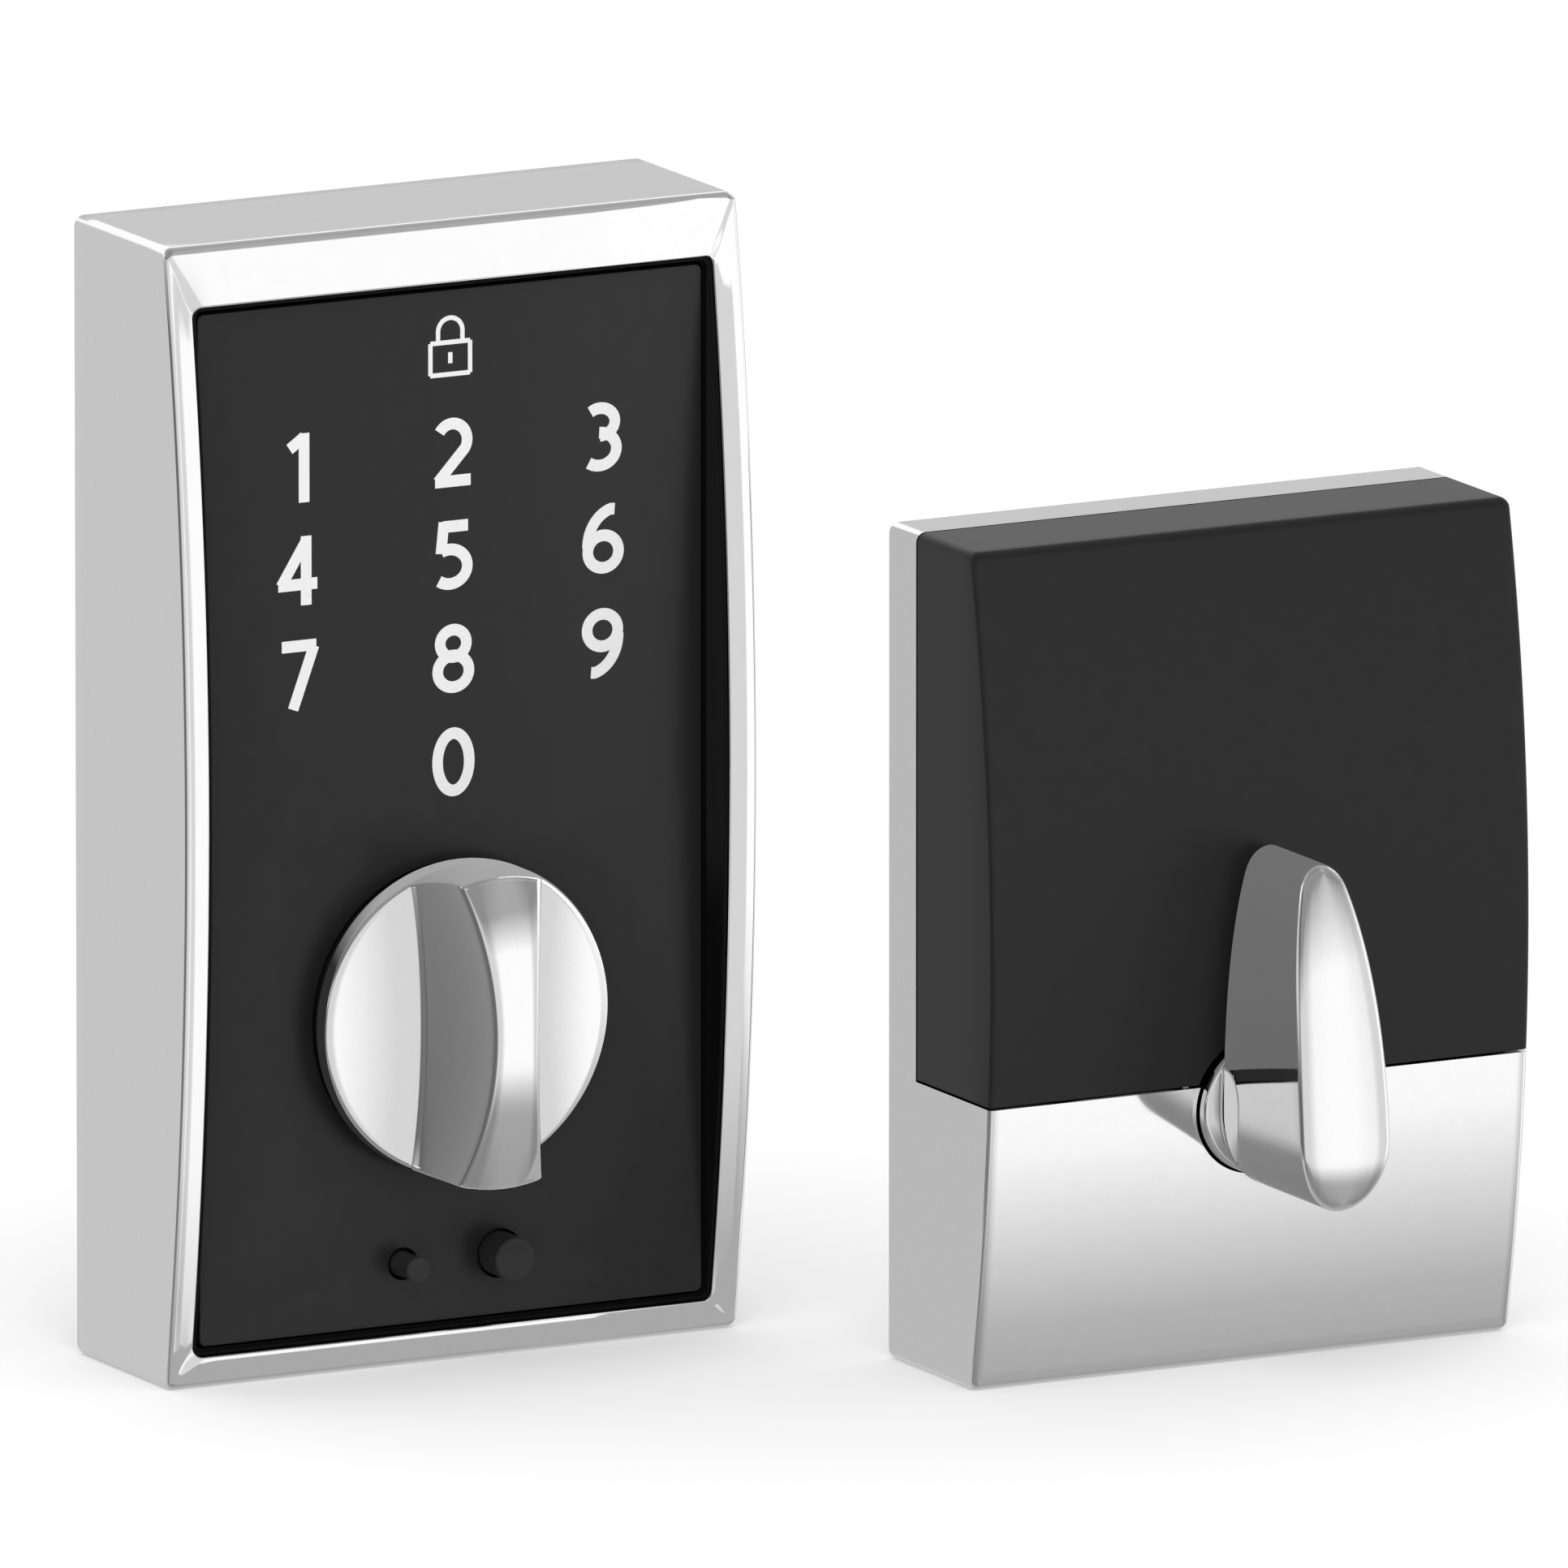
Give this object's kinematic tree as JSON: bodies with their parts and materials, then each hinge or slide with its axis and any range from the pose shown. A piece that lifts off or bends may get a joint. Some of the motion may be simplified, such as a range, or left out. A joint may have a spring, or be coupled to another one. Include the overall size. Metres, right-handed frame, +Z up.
{
  "type": "keypad smart lock",
  "caption": "Keyless deadbolt set: outside unit with flat touch keypad, knob and jump-start contacts, and inside unit with thumb-turn and lift-off battery cover.",
  "frame": {"origin": "on the ground under the middle of the box round both units", "axes": "+X to the right as seen from the front, +Y from the fronts towards the door faces and along the tailpiece, +Z up"},
  "size_m": [0.154, 0.1512, 0.1356],
  "materials": {
    "chrome": "polished plate on zinc",
    "screen": "flat charcoal panel, low gloss",
    "black_cover": "satin",
    "black_trim": "moulded",
    "contact": "blackened",
    "rubber": "matt",
    "white_plastic": "moulded",
    "circuit_board": "solder mask",
    "steel": "zinc plated",
    "zinc": "bare casting",
    "brass": "turned",
    "cell": "printed foil over the can"
  },
  "bodies": {
    "casings": {"outside_housing": "chrome", "touch_screen": "screen", "screen_gasket": "rubber", "light_guide": "white_plastic", "touch_board": "circuit_board", "touch_controller": "black_trim", "cable_socket": "white_plastic", "contact_block": "black_trim", "contact_small": "contact", "contact_large": "contact", "knob_collar": "black_trim", "mechanism_frame": "zinc", "clutch_motor": "steel", "motor_clamp": "black_trim", "fork_pin_left": "steel", "fork_pin_right": "steel", "outside_chassis": "zinc", "cable_grommet": "rubber", "door_gasket": "rubber", "chassis_screw_1": "steel", "chassis_screw_2": "steel", "chassis_screw_3": "steel", "chassis_screw_4": "steel", "inside_housing": "chrome", "mounting_plate": "zinc", "housing_screw_left": "steel", "housing_screw_right": "steel", "battery_tray": "black_trim", "battery_contact_left": "steel", "battery_contact_right": "steel", "board_carrier": "black_trim", "inside_board": "circuit_board", "sounder": "black_trim", "inside_socket": "white_plastic", "turn_collar": "chrome", "turn_washer": "steel", "battery_1": "cell", "battery_2": "cell", "battery_3": "cell", "battery_4": "cell"},
    "knob": {"outside_knob": "chrome", "knob_spindle": "steel", "knob_driver": "steel", "spindle_clip": "steel"},
    "drive": {"drive_hub": "steel", "hub_clip": "steel", "tailpiece": "steel"},
    "clutch": {"clutch_ring": "brass"},
    "fork": {"clutch_fork": "steel"},
    "cam": {"clutch_cam": "white_plastic"},
    "turn": {"inside_turn": "chrome", "turn_spindle": "steel", "turn_clip": "steel"},
    "cover": {"battery_cover": "black_cover"}
  },
  "joints": [
    {"name": "outside_knob_turn", "type": "hinge", "parent": "casings", "child": "knob", "pos_m": [-0.0395, 0, 0.0414], "axis": [0, -1, 0], "continuous": true},
    {"name": "tailpiece_turn", "type": "hinge", "parent": "casings", "child": "drive", "pos_m": [-0.0395, 0, 0.0414], "axis": [0, -1, 0], "range_deg": [-90, 90]},
    {"name": "clutch_ring_slide", "type": "slide", "parent": "drive", "child": "clutch", "axis": [0, -1, 0], "range_m": [0, 0.0018]},
    {"name": "clutch_fork_slide", "type": "slide", "parent": "casings", "child": "fork", "axis": [0, -1, 0], "range_m": [0, 0.0018]},
    {"name": "clutch_cam_turn", "type": "hinge", "parent": "casings", "child": "cam", "pos_m": [-0.0395, 0.00835, 0.0567], "axis": [0, 0, 1], "range_deg": [0, 180]},
    {"name": "inside_turn_turn", "type": "hinge", "parent": "casings", "child": "turn", "pos_m": [0.0414, 0, 0.0315], "axis": [0, -1, 0], "range_deg": [-90, 90]},
    {"name": "battery_cover_lift", "type": "slide", "parent": "casings", "child": "cover", "axis": [0, 0, 1], "range_m": [0, 0.066]}
  ],
  "couplings": [
    {"joint": "clutch_ring_slide", "follows": "clutch_fork_slide", "ratio": 1},
    {"joint": "clutch_cam_turn", "follows": "clutch_fork_slide", "rad_per_m": 1745.3}
  ]
}
